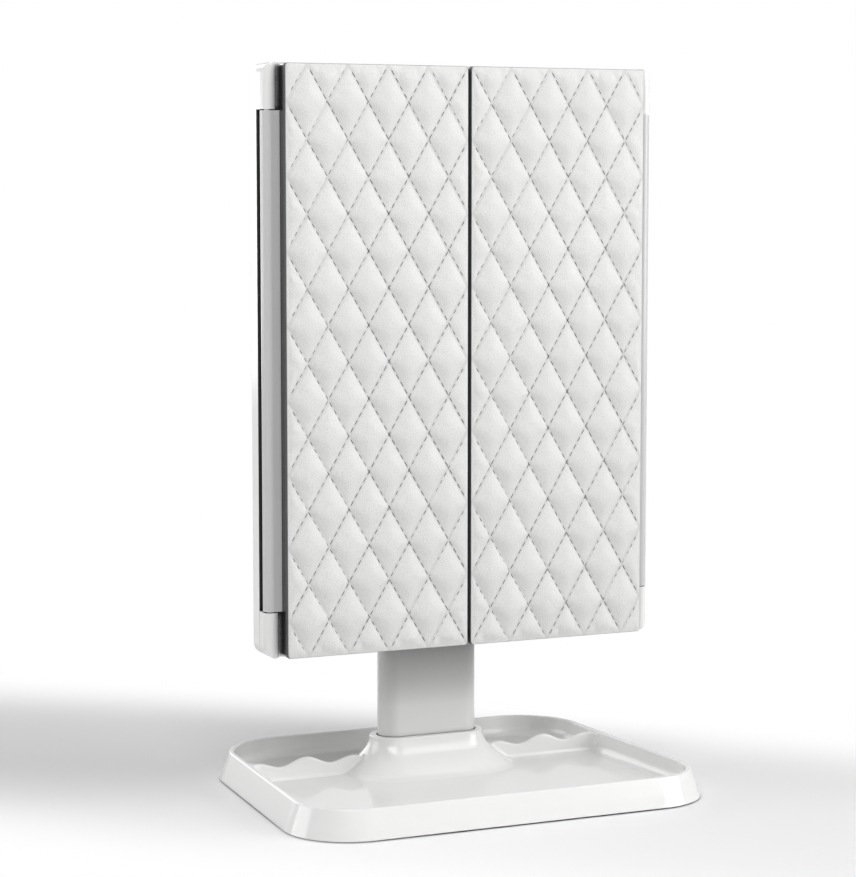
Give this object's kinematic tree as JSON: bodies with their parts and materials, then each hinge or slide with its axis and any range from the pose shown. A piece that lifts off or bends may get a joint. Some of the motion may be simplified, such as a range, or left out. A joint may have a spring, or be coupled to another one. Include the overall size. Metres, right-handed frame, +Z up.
{
  "type": "folding vanity mirror",
  "caption": "Tabletop mirror with quilted doors that fold open over a lit main mirror, a tilting head on a flat post, and a tray base with wavy dividers.",
  "frame": {"origin": "on the table, under the middle of the tray's outline", "axes": "+Z up, the closed doors face -Y, +X to the right as seen from the front"},
  "size_m": [0.206, 0.1644, 0.3394],
  "materials": {
    "gloss_white": "polished moulding",
    "satin_white": "fine texture",
    "leatherette": "fine grain, quilted",
    "mirror_glass": "silvered",
    "frosted": "frosted",
    "foot_rubber": "matt",
    "steel": "plated",
    "backing_board": "pressed board",
    "circuit": "white solder mask",
    "cell": "plain sleeve"
  },
  "bodies": {
    "base": {"base_tray": "gloss_white", "base_cover": "satin_white", "rubber_foot_1": "foot_rubber", "rubber_foot_2": "foot_rubber", "rubber_foot_3": "foot_rubber", "rubber_foot_4": "foot_rubber", "base_screw_1": "steel", "base_screw_2": "steel", "base_screw_3": "steel", "base_screw_4": "steel", "post": "gloss_white", "post_screw_1": "steel", "post_screw_2": "steel"},
    "head": {"tilt_bracket": "satin_white", "tilt_pin": "steel", "tilt_nut": "steel", "friction_washer_left": "steel", "friction_washer_right": "steel", "bracket_screw_1": "steel", "bracket_screw_2": "steel", "bracket_screw_3": "steel", "bracket_screw_4": "steel", "head_frame": "gloss_white", "main_mirror": "mirror_glass", "light_diffuser_left": "frosted", "light_diffuser_right": "frosted", "led_board_left": "circuit", "led_board_right": "circuit", "catch_magnet": "steel", "hinge_pin_1": "steel", "hinge_pin_2": "steel", "hinge_pin_3": "steel", "hinge_pin_4": "steel", "rear_cover": "satin_white", "rear_screw_1": "steel", "rear_screw_2": "steel", "rear_screw_3": "steel", "rear_screw_4": "steel", "battery_cell_1": "cell", "battery_cell_2": "cell", "battery_cell_3": "cell", "battery_cell_4": "cell", "battery_contact_left": "steel", "battery_contact_right": "steel", "control_board": "circuit", "power_switch": "circuit", "power_inlet": "steel"},
    "left_door": {"left_door_frame": "gloss_white", "left_door_mirror": "mirror_glass", "left_door_board": "backing_board", "left_door_pad": "leatherette", "left_door_magnet": "steel"},
    "right_door": {"right_door_frame": "gloss_white", "right_door_mirror": "mirror_glass", "right_door_board": "backing_board", "right_door_pad": "leatherette", "right_door_magnet": "steel"},
    "power_button": {"power_button": "gloss_white"},
    "battery_door": {"battery_door": "satin_white"}
  },
  "joints": [
    {"name": "head_tilt", "type": "hinge", "parent": "base", "child": "head", "pos_m": [0, 0.027, 0.199], "axis": [-1, 0, 0], "range_deg": [-5, 90]},
    {"name": "left_door_swing", "type": "hinge", "parent": "head", "child": "left_door", "pos_m": [-0.0946, -0.0125, 0.2054], "axis": [0, 0, -1], "range_deg": [0, 180]},
    {"name": "right_door_swing", "type": "hinge", "parent": "head", "child": "right_door", "pos_m": [0.0946, -0.0125, 0.2054], "axis": [0, 0, 1], "range_deg": [0, 180]},
    {"name": "power_button_press", "type": "slide", "parent": "head", "child": "power_button", "axis": [0, -1, 0], "range_m": [0, 0.001], "stiffness_N_per_m": 500, "springref_m": -0.0005},
    {"name": "battery_door_slide", "type": "slide", "parent": "head", "child": "battery_door", "axis": [0, 0, 1], "range_m": [0, 0.008]}
  ]
}
